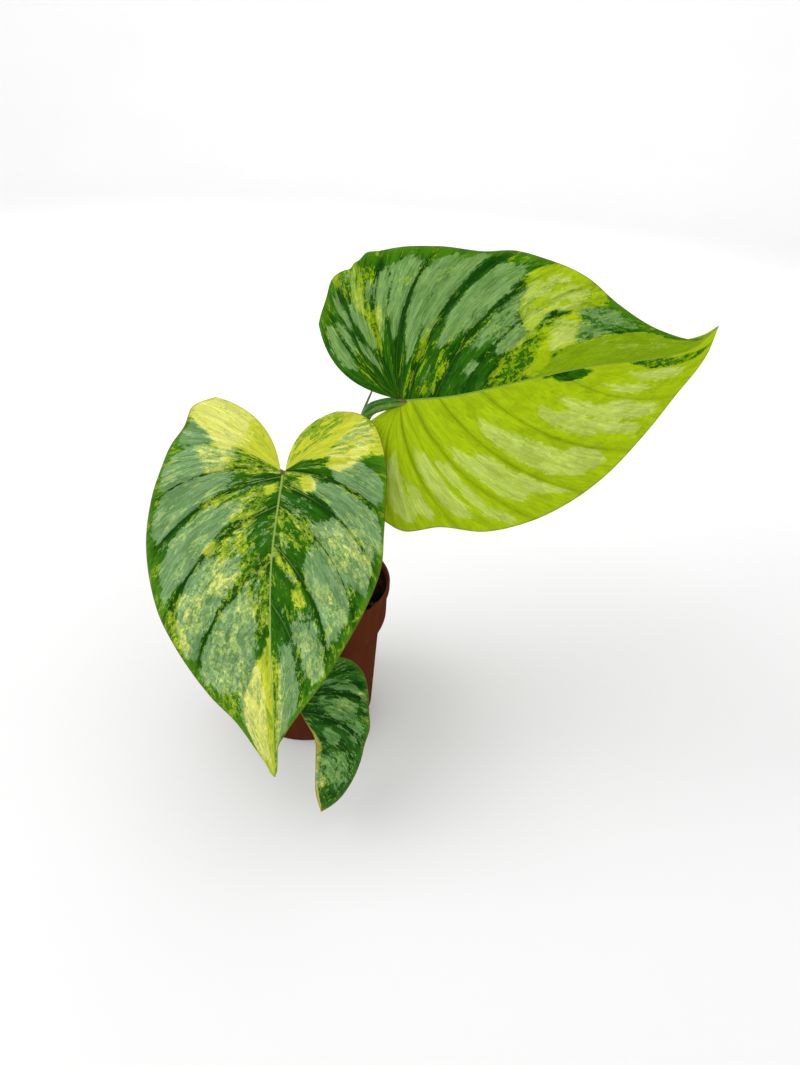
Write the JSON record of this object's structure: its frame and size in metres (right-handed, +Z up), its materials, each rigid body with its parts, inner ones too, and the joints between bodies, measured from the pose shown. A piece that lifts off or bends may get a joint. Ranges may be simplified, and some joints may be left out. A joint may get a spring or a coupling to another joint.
{
  "type": "potted variegated philodendron mamei",
  "caption": "Potted aroid with large quilted heart-shaped leaves, variegated in silver, green and yellow, on tall stalks in a round plastic nursery pot.",
  "frame": {"origin": "on the pot's axis, at the middle of its flat underside", "axes": "+Z up along the pot's axis, -Y towards the viewer that the front leaf faces, +X to the viewer's right"},
  "size_m": [0.3416, 0.2207, 0.3423],
  "materials": {
    "pot_plastic": "satin moulded plastic",
    "potting_soil": "crumbly and moist",
    "stem_bark": "ringed, waxy",
    "stalk_green": "waxy, finely speckled",
    "dried_sheath": "papery, dry",
    "leaf_silver": "waxy leaf, silver and cream marbling",
    "leaf_lime": "waxy leaf, half lime yellow",
    "leaf_dark": "waxy leaf, dark green with silver flecks"
  },
  "bodies": {
    "root": {"pot": "pot_plastic", "soil": "potting_soil", "rhizome": "stem_bark", "petiole_a": "stalk_green", "petiole_b": "stalk_green", "petiole_c": "stalk_green", "sheath": "dried_sheath", "leaf_a": "leaf_silver", "leaf_b": "leaf_lime", "leaf_c": "leaf_dark"}
  },
  "joints": []
}
